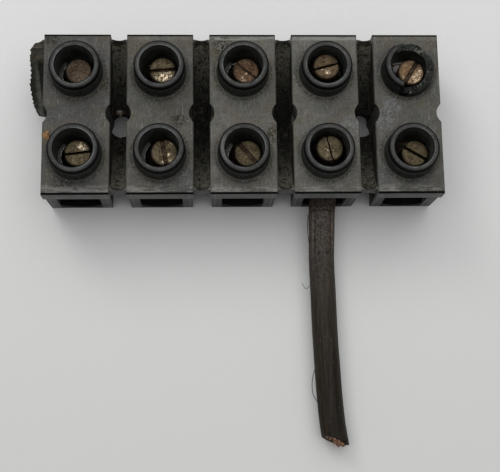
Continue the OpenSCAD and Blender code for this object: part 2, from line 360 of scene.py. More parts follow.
def collars_worn_and_lit(f, colour):
    """The collars: black with an abraded slate rim that carries painted highlights, painted shade
    under the rim, dust and a painted sheen on the walls, and dust round the foot.
    """
    z = f.mm[2]
    colour = f.mix(f.rim, colour, (0.005, 0.005, 0.005))
    mixed = (f.blotch * 0.6 + f.other * 0.4).above(0.5, 0.1)
    slate = f.mix(mixed, (0.021, 0.022, 0.020), (0.045, 0.047, 0.043))
    flat = f.band * f.up.above(0.7, 0.2)
    colour = f.mix(flat, colour, slate)
    # Painted highlight: a broken pale ring on the rim's flat near its inner edge.
    edge_highlight = (f.cloud * 0.7 + f.fine * 0.3).above(0.52, 0.04) * f.reach.within(2.86, 3.0, 0.06) * 0.7
    colour = f.mix(f.band * edge_highlight, colour, (0.13, 0.135, 0.135))
    # Painted highlight on the left of the third block's front rim.
    rim_shine = spot(f, -3.1, -6.3, 2.0, 0.9) * f.fine.above(0.42, 0.1)
    colour = f.mix(flat * rim_shine * 0.8, colour, (0.105, 0.108, 0.102))
    # Painted shade: near black on the top of each collar's wall, just under the rim.
    colour = f.mix(f.rim_shade, colour, (0.003, 0.003, 0.003))
    dusty = f.wall * z.within(10.1, 12.8, 0.15)
    speckle = (f.other * 0.5 + f.fine * 0.5).above(0.5, 0.05)
    dust = f.mix(speckle, (0.009, 0.010, 0.008), (0.040, 0.042, 0.036))
    colour = f.mix(dusty * 0.95, colour, dust)
    sheen = dusty * z.within(12.3, 12.6, 0.1) * (1 - speckle * 0.5)
    colour = f.mix(sheen * 0.5, colour, (0.085, 0.090, 0.087))
    foot = z.within(10.22, 10.5, 0.1) * f.up.below(0.97, 0.03) * f.blotch.above(0.46, 0.1)
    return f.mix(foot * 0.45, colour, (0.060, 0.055, 0.040))


def hollows_dirt_and_shade(f, colour):
    """Dirt and painted shade in the gaps, dusty front and back faces, painted shade in the entries,
    and gritty wells painted lighter near their mouths.
    """
    z = f.mm[2]
    grit = (f.fine * 0.5 + f.blotch * 0.5).above(0.52, 0.08)
    # Dirt in the gaps, with painted shade on the blocks' walls between them.
    dirt = f.mix(grit, (0.008, 0.0075, 0.007), (0.046, 0.041, 0.032))
    colour = f.mix(f.gap_dirt_and_shade * 0.9, colour, dirt)
    dusty = f.mix(f.mottle, (0.062, 0.063, 0.062), (0.105, 0.106, 0.103))
    colour = f.mix(f.face * 0.9, colour, dusty)
    brim = f.face * z.above(7.6, 0.08) * f.lengthwise.above(0.42, 0.12)
    colour = f.mix(brim * 0.7, colour, (0.165, 0.165, 0.160))
    # Paler lines along the bottom, top and sides of each front and back face.
    edges = z.within(0.5, 0.9, 0.1) + z.within(7.7, 8.0, 0.08) + f.across.within(3.95, 4.15, 0.06)
    pale_edges = f.face * edges.held() * f.fine.above(0.47, 0.08)
    colour = f.mix(pale_edges * 0.6, colour, (0.23, 0.23, 0.22))
    # Painted shade: near black in each opening under the top plate, and on the face below it as
    # well.
    entry_shade = z.below(7.45, 0.1) * f.across.below(3.0, 0.1)
    colour = f.mix(entry_shade, colour, (0.008, 0.007, 0.007))
    lining = f.mix(grit, (0.016, 0.018, 0.015), (0.064, 0.066, 0.056))
    colour = f.mix(f.well, colour, lining)
    # Painted light: each well's wall paler near its mouth.
    return f.mix(f.well * f.wall * z.above(12.5, 0.5), colour, (0.040, 0.043, 0.039))


def broken_ends(f, colour):
    """The solid's own faces beside the broken collar and on the torn web."""
    x, _, z = f.mm
    torn = spot(f, 23.4, 6.0, 4.0, 0.2) * f.wall * z.within(10.6, 13.2, 0.1)
    raw = f.mix(f.other.above(0.5, 0.08), (0.003, 0.003, 0.003), (0.026, 0.028, 0.025))
    colour = f.mix(torn * 0.85, colour, raw)
    # Painted shade: a lit facet at the end of the break, coloured near black.
    colour = f.mix(f.break_end_shade, colour, (0.006, 0.006, 0.006))
    return f.mix(x.below(END_X_MM - 0.03, 0.02) * z.below(9.9, 0.1), colour, stub_colour(f))


def moulding_finish():
    """Old black moulding: half gloss under dust, paler along its edges, dirty in its gaps, with
    painted shade and painted highlights.
    """
    f = Moulding()
    colour = collars_worn_and_lit(f, aged_tops_and_painted_light(f))
    f.feed("Base Color", broken_ends(f, hollows_dirt_and_shade(f, colour)))
    f.feed("Specular IOR Level", 0.0)
    f.feed("Coat Roughness", 0.3)
    gloss = 0.22 + f.band * 0.12 - f.rim_shade * 0.12 + f.well * 0.2
    gloss = gloss - f.gap_dirt_and_shade * 0.15 - f.mottle * f.top * 0.08
    f.feed("Coat Weight", (gloss * (1 - f.edge_shade_line) * (1 - f.break_end_shade)).held())
    f.feed("Roughness", 0.55 + f.fine * 0.3)
    f.bump(f.fine * 0.7 + f.brushed * 0.25 + f.blotch * 0.5 + f.other * 0.4, 0.06 * MM, 0.4)
    return f.material


def grime_finish(name, dark, pale, bright, grain=0.16 * MM, middle=1.0):
    """Dry packed dirt: granular, with a few bright grains, and painted shade near black in the
    web's middle, as much as middle says.
    """
    f = Finish(name)
    lump = f.noise(0.7 * MM, 5, 0.65)
    fine = f.noise(grain, 3, 0.6)
    y = f.y * IN_MM
    along = y.size().above(5.5, 5)
    tone = (lump * 0.45 + fine * 0.55 + along * 0.085).above(0.53, 0.08)
    grains = f.cells(0.2 * MM).below(0.16, 0.05) * f.noise(1.1 * MM, 2).above(0.5, 0.08)
    colour = f.mix(tone, dark, pale)
    # Painted shade: near black over the web's middle.
    middle_shade = (y - 0.6).size().below(5.5, 4.0) * 0.82
    colour = f.mix(grains * (0.4 + along * 0.4), colour, bright)
    f.feed("Base Color", f.mix(middle_shade * middle, colour, (0.004, 0.004, 0.0035)))
    f.feed("Specular IOR Level", 0.1)
    f.feed("Roughness", 0.75 + fine * 0.2)
    f.bump(fine + lump, 0.06 * MM, 0.6)
    return f.material


def barrel_finish():
    """Dull brass in shadow, brown with age, with one pale patch painted as a glint on the fifth
    barrel.
    """
    f = Finish("barrel brass")
    blotch = f.noise(0.9 * MM, 4)
    fine = f.noise(0.15 * MM, 3)
    turned = f.noise(0.12 * MM, 2, 0.5, f.stretched((0.2, 1, 0.2)))
    # Painted glint: a pale, non-metal patch on the fifth barrel's top.
    crust = spot(f, 22.8, 8.05, 0.55, 0.2) * (f.z * IN_MM).above(5.6, 0.2)
    colour = f.mix(blotch.above(0.5, 0.2), (0.050, 0.038, 0.026), (0.13, 0.10, 0.068))
    f.feed("Base Color", f.mix(crust, colour, (0.90, 0.82, 0.86)))
    f.feed("Metallic", 0.6 - crust * 0.6)
    f.feed("Roughness", 0.42 + blotch * 0.2)
    f.bump(fine * 0.6 + turned * 0.4, 0.03 * MM, 0.5)
    return f.material


class Tarnish:
    """How one clamp screw has aged: its two tones, how much it glints and its bright patches, which
    are partly painted highlights.
    """

    def __init__(self, dark, pale, glint=0.0, patches=()):
        self.dark, self.pale, self.glint, self.patches = dark, pale, glint, patches


def screw_finish(name, top, tarnish):
    """Tarnished brass with pits, a grimy border, painted shade in the slot and down the sides, and
    a few bright patches that are partly painted highlights.
    """
    f = Finish(name)
    x0, y0, z0 = top
    shift = f.stretched((1, 1, 1), (x0 * 3, y0 * 5, 0))
    cloud = f.noise(1.1 * MM, 4, 0.6, shift)
    fine = f.noise(0.13 * MM, 3, 0.65, shift)
    spots = f.noise(0.42 * MM, 3, 0.6, shift)
    radius = distance(f.x - x0, f.y - y0) * IN_MM
    tone = (cloud * 0.3 + fine * 0.45 + spots * 0.25).above(0.5, 0.06)
    colour = f.mix(tone, tarnish.dark, tarnish.pale)
    pits = (spots * 0.4 + fine * 0.6).below(0.43, 0.05)
    colour = f.mix(pits * 0.7, colour, (0.024, 0.015, 0.009))
    grimy = (radius + spots * 1.2).above(2.3, 0.2)
    colour = f.mix(grimy * 0.85, colour, (0.022, 0.017, 0.012))
    # Painted shade: near black in the slot, down the sides and below the top.
    sunk = (f.up.below(0.6, 0.3) + f.z.below(z0 - 0.2 * MM, 0.1 * MM)).held()
    black = f.mix(spots.above(0.5, 0.1), (0.010, 0.006, 0.004), (0.034, 0.022, 0.013))
    colour = f.mix(sunk * 0.9, colour, black)
    shine = (spots * 0.55 + fine * 0.45).above(0.62, 0.03) * min(1.0, tarnish.glint * 5)
    # Bright patches: pale shiny metal where highlights fall, partly a painted highlight.
    for patch_x, patch_y, reach in tarnish.patches:
        patch = spot(f, x0 / MM + patch_x, y0 / MM + patch_y, reach, 0.3)
        shine = shine + patch * (spots * 0.4 + fine * 0.6).above(0.53, 0.04)
    shine = shine.held() * (1 - sunk) * (1 - grimy)
    f.feed("Base Color", f.mix(shine, colour, (0.66, 0.54, 0.38)))
    f.feed("Metallic", 0.25 + shine * 0.65)
    f.feed("Specular IOR Level", 0.12)
    f.feed("Roughness", 0.6 - shine * 0.36 + fine * 0.15)
    f.bump(cloud * 0.5 + spots * 0.6 + fine * 0.5, 0.07 * MM, 0.7)
    return f.material


def glint_finish():
    """Painted glint: a bright metal colour, smeared with dirt."""
    f = Finish("painted_glint")
    smear = f.noise(0.35 * MM, 3, 0.6)
    f.feed("Base Color", f.mix(smear.above(0.5, 0.08), (0.10, 0.095, 0.085), (0.72, 0.70, 0.64)))
    f.feed("Metallic", 0.8)
    f.feed("Roughness", 0.25 + smear * 0.25)
    f.bump(smear, 0.04 * MM, 0.5)
    return f.material


def insulation_finish():
    """Stiff brown-black sleeve with lengthwise streaks, scaly and paler towards the strip."""
    f = Finish("insulation")
    along = f.stretched((1, 0.05, 1))
    streaks = f.noise(0.55 * MM, 3, 0.6, along)
    thin = f.noise(0.16 * MM, 2, 0.6, along)
    scale = f.noise(0.22 * MM, 4, 0.7, f.stretched((1, 0.6, 1)))
    y = f.y * IN_MM
    near = y.above(-20, 9)
    streaked = (streaks * 0.6 + thin * 0.4).above(0.5, 0.12)
    far_end = f.mix(streaked, (0.0055, 0.0038, 0.0018), (0.0185, 0.0135, 0.0080))
    middle = f.mix(streaked, (0.0095, 0.0070, 0.0042), (0.032, 0.0245, 0.017))
    colour = f.mix(y.above(-34, 9), far_end, middle)
    colour = f.mix(near * scale.above(0.49, 0.16) * 0.8, colour, (0.128, 0.112, 0.102))
    seam = (f.x * IN_MM - 11.36).size()
    ragged = (scale * 0.5 + thin * 0.5).above(0.47, 0.08) * y.above(-19, 3)
    wander = seam + (streaks - 0.5) * 0.5 + (scale - 0.5) * 0.4
    groove = wander.within(1.05, 1.2, 0.08) * y.above(-19, 4)
    colour = f.mix(groove * 0.7, colour, (0.008, 0.005, 0.004))
    colour = f.mix(wander.within(1.25, 1.5, 0.08) * ragged * 0.7, colour, (0.17, 0.135, 0.11))
    tear = y + (streaks - 0.5) * 1.2 + (scale - 0.5) * 0.5
    raw = f.mix(scale.above(0.5, 0.1), (0.012, 0.007, 0.005), (0.042, 0.027, 0.020))
    colour = f.mix(tear.above(-12.9, 0.15) * 0.8, colour, raw)
    colour = f.mix(tear.within(-13.15, -12.95, 0.06) * 0.7, colour, (0.006, 0.004, 0.003))
    frayed = tear.within(-12.85, -12.68, 0.05) * scale.above(0.46, 0.1)
    colour = f.mix(frayed * 0.5, colour, (0.13, 0.10, 0.075))
    flecks = f.noise(0.13 * MM, 2, 0.5, f.stretched((1, 0.25, 1))).above(0.71, 0.03)
    colour = f.mix(flecks * 0.6, colour, (0.16, 0.12, 0.09))
    f.feed("Base Color", colour)
    f.feed("Specular IOR Level", 0.15)
    f.feed("Roughness", 0.5 + near * 0.15 + thin * 0.15)
    f.bump(streaks * 0.6 + thin * 0.5 + near * scale * 0.9, 0.12 * MM, 0.7)
    return f.material


def copper_finish():
    """Copper that has gone dull and brown in patches."""
    f = Finish("copper")
    blotch = f.noise(0.4 * MM, 3)
    f.feed("Base Color", f.mix(blotch.above(0.5, 0.15), (0.13, 0.060, 0.035), (0.50, 0.28, 0.18)))
    f.feed("Metallic", 0.75)
    f.feed("Roughness", 0.4 + blotch * 0.2)
    f.bump(blotch, 0.04 * MM, 0.4)
    return f.material


def crumb_finish(name, dark, pale):
    """Dry dirt between two tones."""
    f = Finish(name)
    tone = f.noise(0.5 * MM, 3)
    f.feed("Base Color", f.mix(tone.above(0.5, 0.1), dark, pale))
    f.feed("Specular IOR Level", 0.1)
    f.feed("Roughness", 0.7 + tone * 0.2)
    f.bump(f.noise(0.1 * MM, 2), 0.05 * MM, 0.6)
    return f.material


def floor_finish():
    """A pale table with painted light: a little brighter away from the viewer."""
    f = Finish("pale table")
    paper = f.noise(0.8 * MM, 4, 0.6)
    # Painted light: paler towards the back.
    far = (f.y * IN_MM).above(0, 60)
    colour = f.mix(far, (0.575, 0.575, 0.560), (0.700, 0.705, 0.700))
    f.feed("Base Color", f.mix(paper.above(0.5, 0.3) * 0.1, colour, (0.50, 0.50, 0.49)))
    f.feed("Roughness", 0.6)
    return f.material


MOULDING = moulding_finish()
WEB_GRIME = grime_finish("web grime", (0.014, 0.014, 0.011), (0.088, 0.085, 0.066),
                         (0.28, 0.27, 0.23))
FRACTURE = grime_finish("fracture", (0.003, 0.0035, 0.003), (0.030, 0.033, 0.029),
                        (0.10, 0.105, 0.095), grain=0.24 * MM, middle=0.0)
STUB = stub_finish()
DARK_CRUMBS = crumb_finish("dark crumbs", (0.010, 0.009, 0.008), (0.030, 0.024, 0.017))
PALE_CRUMBS = crumb_finish("pale crumbs", (0.11, 0.09, 0.06), (0.26, 0.23, 0.18))
RUST_CRUMBS = crumb_finish("rust crumbs", (0.11, 0.055, 0.024), (0.27, 0.150, 0.070))
SLOT_DIRT = crumb_finish("slot dirt", (0.026, 0.017, 0.010), (0.068, 0.046, 0.029))
GLINT = glint_finish()
BRASS = barrel_finish()
INSULATION = insulation_finish()
COPPER = copper_finish()

BROWN = ((0.066, 0.043, 0.023), (0.172, 0.120, 0.068))
OLIVE = ((0.060, 0.047, 0.024), (0.162, 0.128, 0.076))
RUSSET = ((0.072, 0.039, 0.021), (0.176, 0.110, 0.066))
TARNISHES = {
    ("back", 1): Tarnish((0.060, 0.040, 0.026), (0.142, 0.105, 0.074)),
    ("back", 2): Tarnish(*OLIVE, 0.1, ((-0.3, -1.2, 0.7), (0.7, -1.0, 0.75), (0.1, -1.6, 0.5))),
    ("back", 3): Tarnish(*RUSSET, 0.08, ((0.1, -0.3, 0.15), (-0.4, -1.3, 0.3))),
    ("back", 4): Tarnish(*BROWN, 0.1, ((0.1, -0.9, 0.25), (-0.5, -0.5, 0.2), (0.5, -0.5, 0.15))),
    ("back", 5): Tarnish((0.12, 0.070, 0.036), (0.27, 0.172, 0.096), 0.2,
                         ((1.0, -0.3, 0.45), (0.3, -1.1, 0.5), (0.9, -1.0, 0.5),
                          (-0.9, -0.7, 0.2), (1.3, 0.3, 0.3))),
    ("front", 1): Tarnish(*OLIVE, 0.05, ((0.5, 1.0, 0.5), (0.9, 0.7, 0.35))),
    ("front", 2): Tarnish(*OLIVE, 0.05,
                          ((-0.25, -0.6, 0.14), (-0.2, -1.35, 0.25), (0.6, -0.4, 0.16),
                           (0.75, -1.1, 0.18), (0.9, 1.2, 0.15))),
    ("front", 3): Tarnish(*OLIVE, 0.03),
    ("front", 4): Tarnish(*OLIVE, 0.05, ((-0.3, -0.3, 0.12),)),
    ("front", 5): Tarnish((0.072, 0.057, 0.028), (0.190, 0.150, 0.088)),
}


def dress(piece, material):
    """Gives a piece one material in place of any it has."""
    piece.data.materials.clear()
    piece.data.materials.append(material)


NODE_FINISHES = {"housing": MOULDING, "wire_insulation": INSULATION, "wire_conductor": COPPER}
for name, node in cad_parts.items():
    dress(node, NODE_FINISHES.get(name, BRASS))

# ---------------------------------------------------------------------------
# Making pieces

def finished(name, shape, material, body, smooth=True):
    """Turns a bmesh into an object that rides on a body."""
    bmesh.ops.recalc_face_normals(shape, faces=shape.faces[:])
    for face in shape.faces:
        face.smooth = smooth
    data = bpy.data.meshes.new(name)
    shape.to_mesh(data)
    shape.free()
    piece = bpy.data.objects.new(name, data)
    bpy.context.scene.collection.objects.link(piece)
    dress(piece, material)
    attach(piece, body)
    return piece


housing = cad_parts["housing"]
SURFACE = BVHTree.FromPolygons([v.co for v in housing.data.vertices],
                               [tuple(p.vertices) for p in housing.data.polygons])
DOWN = Vector((0, 0, -1))


def landing(x, y, start_z=0.02):
    """Where a grain falling at (x, y) lands on the moulding, and the surface's normal there."""
    place, normal, _, _ = SURFACE.ray_cast(Vector((x, y, start_z)), DOWN)
    return place, normal


def rough(place, size, seed):
    """Fractal roughness from about -1 to 1."""
    return noise.fractal(place / size + Vector((seed, seed * 0.7, 0)), 0.9, 2.1, 4)


def all_of(shape):
    return shape.verts[:] + shape.edges[:] + shape.faces[:]


def weld(shape, reach=1e-7):
    bmesh.ops.remove_doubles(shape, verts=shape.verts[:], dist=reach)


# ---------------------------------------------------------------------------
# Packed dirt on the webs

def web_grime(gap):
    """A granular crust along the trough of one web."""
    centre = gap_x(gap)
    half_w, half_l = GAP / 2 + 0.12 * MM, BLOCK_D / 2 - 0.75 * MM
    shape = bmesh.new()
    bmesh.ops.create_grid(shape, x_segments=26, y_segments=220, size=1)
    astray = []
    for vertex in shape.verts:
        across, along = vertex.co.x, vertex.co.y
        x, y = centre + across * half_w, along * half_l
        place, normal = landing(x, y, BELOW_TOP)
        if place is None or normal.z < 0.2 or place.z < 3.5 * MM:
            astray.append(vertex)
            vertex.co = (x, y, 0)
            continue
        border = min(1, (1 - abs(across)) * 5) * min(1, (1 - abs(along)) * 12)
        crust = 0.03 + 0.06 * rough(place, 0.8 * MM, gap) + 0.04 * rough(place, 0.25 * MM, gap)
        vertex.co = (x, y, place.z + (crust * border - 0.05 * (1 - border)) * MM)
    bmesh.ops.delete(shape, geom=astray, context="VERTS")
    finished(f"web_grime_{gap}", shape, WEB_GRIME, "strip")


for gap in GAPS:
    web_grime(gap)

# ---------------------------------------------------------------------------
# Loose grains

def crumbs(name, material, seed, count, sizes, where, limit_z=BELOW_TOP):
    """Irregular grains, each half sunk where it would land."""
    chance = random.Random(seed)
    shape = bmesh.new()
    for _ in range(count):
        x, y = where(chance)
        place, normal = landing(x * MM, y * MM)
        if place is None or normal.z < 0.35 or place.z > limit_z:
            continue
        size = chance.uniform(*sizes) * MM
        squeeze = Matrix.Diagonal((chance.uniform(0.6, 1.4), chance.uniform(0.6, 1.4),
                                   chance.uniform(0.5, 0.9), 1))
        turn = Matrix.Rotation(chance.uniform(0, math.tau), 4, "Z")
        made = bmesh.ops.create_icosphere(shape, subdivisions=1, radius=size / 2,
                                          matrix=Matrix.Translation(place) @ turn @ squeeze)
        for vertex in made["verts"]:
            vertex.co += (vertex.co - place) * chance.uniform(-0.3, 0.3)
    finished(name, shape, material, "strip", smooth=False)


def in_gap(gap, y_low=-10.6, y_high=10.6):
    """Places in millimetres along one gap."""
    def where(chance):
        return gap_x(gap, PITCH_MM) + chance.gauss(0, 0.55), chance.uniform(y_low, y_high)
    return where


def at_collar_foot(pole, row_y):
    """Places in millimetres round the front half of a collar's foot."""
    def where(chance):
        turn = math.radians(chance.uniform(190, 350))
        reach = 3.75 + abs(chance.gauss(0, 0.25))
        return pole_x(pole, PITCH_MM) + reach * math.cos(turn), row_y + reach * math.sin(turn)
    return where


for gap in GAPS:
    crumbs(f"web_crumbs_{gap}", DARK_CRUMBS, 10 + gap, 130, (0.12, 0.38), in_gap(gap))
    crumbs(f"web_dust_{gap}", PALE_CRUMBS, 20 + gap, 55, (0.06, 0.16), in_gap(gap))
crumbs("web_clots", DARK_CRUMBS, 31, 46, (0.3, 0.75), in_gap(1, -4.6, -1.9))
crumbs("web_clots_4", DARK_CRUMBS, 32, 30, (0.25, 0.6), in_gap(4, -4.4, -1.9))
crumbs("web_chip", PALE_CRUMBS, 36, 3, (0.5, 0.7),
       lambda chance: (-17.7 + chance.gauss(0, 0.1), 1.95))
for pole in POLES:
    for row, row_y in (("front", -COLLAR_Y_MM), ("back", COLLAR_Y_MM)):
        crumbs(f"collar_dust_{pole}_{row}", PALE_CRUMBS, pole * 7 + int(row_y), 9, (0.07, 0.2),
               at_collar_foot(pole, row_y), ABOVE_TOP)
crumbs("rust_flake", RUST_CRUMBS, 51, 30, (0.2, 0.45),
       lambda chance: (-27.5 + chance.gauss(0, 0.33), -3.35 + chance.gauss(0, 0.26)), ABOVE_TOP)

# ---------------------------------------------------------------------------
# Rough broken faces

def stump_fracture():
    """The torn top of the fifth block's back collar."""
    centre = Vector((pole_x(5), COLLAR_Y, 0))
    start, sweep = math.radians(-105), math.radians(228)
    inner, outer = WELL_R, 3.74 * MM
    shape = bmesh.new()
    bmesh.ops.create_grid(shape, x_segments=150, y_segments=18, size=1)
    astray = []
    for vertex in shape.verts:
        turn = start + sweep * (vertex.co.x + 1) / 2
        share = (vertex.co.y + 1) / 2
        reach = inner + (outer - inner) * share
        x, y = centre.x + reach * math.cos(turn), centre.y + reach * math.sin(turn)
        place, _ = landing(x, y)
        if place is None or place.z < TOP_Z + 0.3 * MM:
            if share > 0.5:
                vertex.co = (x, y, TOP_Z + 0.25 * MM)
            else:
                astray.append(vertex)
            continue
        border = min(1, 6 * min(share, 1 - share)) * min(1, 12 * (1 - abs(vertex.co.x)))
        torn = 0.10 + 0.22 * rough(place, 0.9 * MM, 3) + 0.12 * rough(place, 0.3 * MM, 8)
        height = place.z + (torn * border - 0.04 * (1 - border)) * MM
        vertex.co = (x, y, min(height, RIM_Z - 0.3 * MM))
    bmesh.ops.delete(shape, geom=astray, context="VERTS")
    finished("stump_fracture", shape, FRACTURE, "strip")


def stub_fracture():
    """The torn flank of the web stub at the end of the strip."""
    shape = bmesh.new()
    bmesh.ops.create_grid(shape, x_segments=170, y_segments=60, size=1)
    astray = []
    wall = pole_x(1) - BLOCK_W / 2
    for vertex in shape.verts:
        y, z = (6.2 + vertex.co.x * 5.1) * MM, (6.4 + vertex.co.y * 3.6) * MM
        place, normal, _, _ = SURFACE.ray_cast(Vector((wall - 6 * MM, y, z)), Vector((1, 0, 0)))
        if place is None or place.x > wall - 0.25 * MM or normal.x > -0.25:
            astray.append(vertex)
            continue
        tooth = 0.16 * max(0.0, math.sin(place.y / MM * 10.2 + 1.6 * rough(place, 2 * MM, 7))) ** 2
        torn = 0.03 + tooth + 0.09 * rough(place, 0.8 * MM, 5) + 0.07 * rough(place, 0.25 * MM, 2)
        vertex.co = place - Vector((torn * MM, 0, 0))
    bmesh.ops.delete(shape, geom=astray, context="VERTS")
    finished("stub_fracture", shape, STUB, "strip")


stump_fracture()
stub_fracture()

# ---------------------------------------------------------------------------
# Clamp screws

SCREW_R = 1.88 * MM
ROOT_R = 1.72 * MM
THREAD = 0.7 * MM
HEAD = 1.0 * MM
NECK = 0.12 * MM
RUN_OUT = 0.3 * MM
# The thread stays this far inside the plain cylinders it stands for
WITHIN = 0.02 * MM
STEPS_A_TURN = 28


def screw_ends(row, pole):
    """The lowest corner of a clamp screw's box and the middle of its top."""
    low, high = (Vector(corner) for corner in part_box(f"clamp_screw_{row}_{pole}"))
    return low, Vector(((low.x + high.x) / 2, (low.y + high.y) / 2, high.z))


def screw_material(row, pole):
    return bpy.data.materials[f"screw {row} {pole}"]


def on_screw(kind, row, pole, shape, material, smooth=True):
    """Turns a bmesh into an object that rides on a clamp screw."""
    return finished(f"{kind}_{row}_{pole}", shape, material, f"screw_{row}_{pole}", smooth)


def clamp_screw(row, pole):
    """The node's own slotted top on a shank with a real thread."""
    name = f"clamp_screw_{row}_{pole}"
    low, crown = screw_ends(row, pole)
    axis = Vector((crown.x, crown.y, 0))
    shape = bmesh.new()
    shape.from_mesh(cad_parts[name].data)
    weld(shape, 1e-6)
    for depth in (HEAD, HEAD + NECK):
        bmesh.ops.bisect_plane(shape, geom=all_of(shape), plane_co=(0, 0, crown.z - depth),
                               plane_no=(0, 0, 1))
    shank = [v for v in shape.verts if v.co.z < crown.z - HEAD - NECK / 2]
    slim = ROOT_R / SCREW_R
    bmesh.ops.scale(shape, vec=(slim, slim, 1), space=Matrix.Translation(-axis), verts=shank)
    flank = [(ROOT_R - WITHIN, -0.28), (SCREW_R - WITHIN, -0.04),
             (SCREW_R - WITHIN, 0.04), (ROOT_R - WITHIN, 0.28)]
    top = crown.z - HEAD - RUN_OUT
    corners = [shape.verts.new((axis.x + reach, axis.y, top + rise * MM)) for reach, rise in flank]
    edges = [shape.edges.new(pair) for pair in zip(corners, corners[1:])]
    turns = int((top - low.z - RUN_OUT) / THREAD)
    bmesh.ops.spin(shape, geom=corners + edges, cent=axis, axis=(0, 0, 1),
                   dvec=(0, 0, -THREAD / STEPS_A_TURN), angle=math.tau * turns,
                   steps=STEPS_A_TURN * turns, use_merge=False)
    material = screw_finish(f"screw {row} {pole}", crown, TARNISHES[row, pole])
    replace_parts(on_screw("screw", row, pole, shape, material, smooth=False), name)


for row in ("back", "front"):
    for pole in POLES:
        clamp_screw(row, pole)


def dirt_crust(row, pole, reach, thickness):
    """A caked layer over a screw's whole top."""
    _, crown = screw_ends(row, pole)
    shape = bmesh.new()
    bmesh.ops.create_grid(shape, x_segments=72, y_segments=14, size=1)
    for vertex in shape.verts:
        turn, share = (vertex.co.x + 1) * math.pi, (vertex.co.y + 1) / 2
        place = crown + Vector((math.cos(turn), math.sin(turn), 0)) * reach * share
        lump = 0.6 + 0.4 * rough(place, 0.5 * MM, 11) + 0.3 * rough(place, 0.18 * MM, 6)
        place.z += (lump * min(1, (1 - share) * 7) - 0.5 * (share > 0.97)) * thickness
        vertex.co = place
    weld(shape)
    on_screw("dirt_crust", row, pole, shape, screw_material(row, pole))


dirt_crust("back", 1, 1.76 * MM, 0.07 * MM)


def set_in_slot(shape, place, turn):
    """Turns a shape made about the origin by some degrees and moves it to its place."""
    turned = Matrix.Rotation(math.radians(turn), 3, "Z")
    bmesh.ops.rotate(shape, cent=(0, 0, 0), matrix=turned, verts=shape.verts[:])
    bmesh.ops.translate(shape, vec=place, verts=shape.verts[:])


def slot_dirt(row, pole, turn, fill, material):
    """Packed dirt in a driver slot, flush with the screw's top where fill is 1."""
    _, crown = screw_ends(row, pole)
    shape = bmesh.new()
    bmesh.ops.create_cube(shape, size=1)
    bmesh.ops.scale(shape, vec=(3.3 * MM, 0.62 * MM, 0.85 * MM * fill), verts=shape.verts[:])
    bmesh.ops.bevel(shape, geom=shape.edges[:], offset=0.05 * MM, offset_type="OFFSET", segments=2,
                    profile=0.5, affect="EDGES", material=-1)
    middle_z = crown.z - 0.88 * MM + 0.43 * MM * fill
    set_in_slot(shape, Vector((crown.x, crown.y, middle_z)), turn)
    on_screw("slot_dirt", row, pole, shape, material)


slot_dirt("back", 1, 8, 1.0, screw_material("back", 1))
slot_dirt("front", 2, -80, 0.85, SLOT_DIRT)
slot_dirt("back", 3, -38, 0.7, SLOT_DIRT)
slot_dirt("back", 5, 58, 0.8, SLOT_DIRT)
slot_dirt("front", 3, -50, 0.7, SLOT_DIRT)
slot_dirt("back", 2, 5, 0.3, SLOT_DIRT)

SLOT_MM = 0.64


def slot_lips(row, pole, turn, crack):
    """Tarnish caked on both walls of a driver slot, with a crack in millimetres between."""
    low, crown = screw_ends(row, pole)
    width = (SLOT_MM - crack) / 2
    shape = bmesh.new()
    for side in (-1, 1):
        bar = bmesh.ops.create_cube(shape, size=1)["verts"]
        bmesh.ops.scale(shape, vec=(3.4 * MM, width * MM, 0.8 * MM), verts=bar)
        bmesh.ops.translate(shape, vec=(0, side * (crack + width) / 2 * MM, 0), verts=bar)
    lengthwise = [edge for edge in shape.edges if edge.calc_length() > MM]
    bmesh.ops.subdivide_edges(shape, edges=lengthwise, cuts=24)
    for vertex in shape.verts:
        if abs(vertex.co.y) < crack * MM:
            vertex.co.y += 0.07 * MM * rough(vertex.co + low, 0.3 * MM, pole)
    set_in_slot(shape, Vector((crown.x, crown.y, crown.z - 0.44 * MM)), turn)
    on_screw("slot_lips", row, pole, shape, screw_material(row, pole), smooth=False)


slot_lips("back", 2, 5, 0.50)
slot_lips("back", 3, -38, 0.40)
slot_lips("back", 4, 15, 0.34)
slot_lips("front", 1, 7, 0.38)
slot_lips("front", 4, -77, 0.24)
slot_lips("front", 5, -31, 0.44)

# ---------------------------------------------------------------------------
# Ledges in the wells

LEDGE_R = 2.14 * MM
LEDGE_Z = 9.0 * MM
LEDGE_H = 0.7 * MM
BEAD_R = 0.05 * MM
BEAD_SIDES = 8
ARC_STEPS = 36


def swept_arc(centre, start, end, profile):
    """A closed outline of (reach, height) points swept round an upright axis, in degrees."""
    shape = bmesh.new()
    bmesh.ops.create_grid(shape, x_segments=ARC_STEPS, y_segments=len(profile), size=1)
    for vertex in shape.verts:
        turn = math.radians(start + (end - start) * (vertex.co.x + 1) / 2)
        reach, height = profile[round((vertex.co.y + 1) / 2 * len(profile)) % len(profile)]
        vertex.co = centre + Vector((math.cos(turn) * reach, math.sin(turn) * reach, height))
    weld(shape)
    bmesh.ops.holes_fill(shape, edges=[edge for edge in shape.edges if edge.is_boundary], sides=0)
    return shape


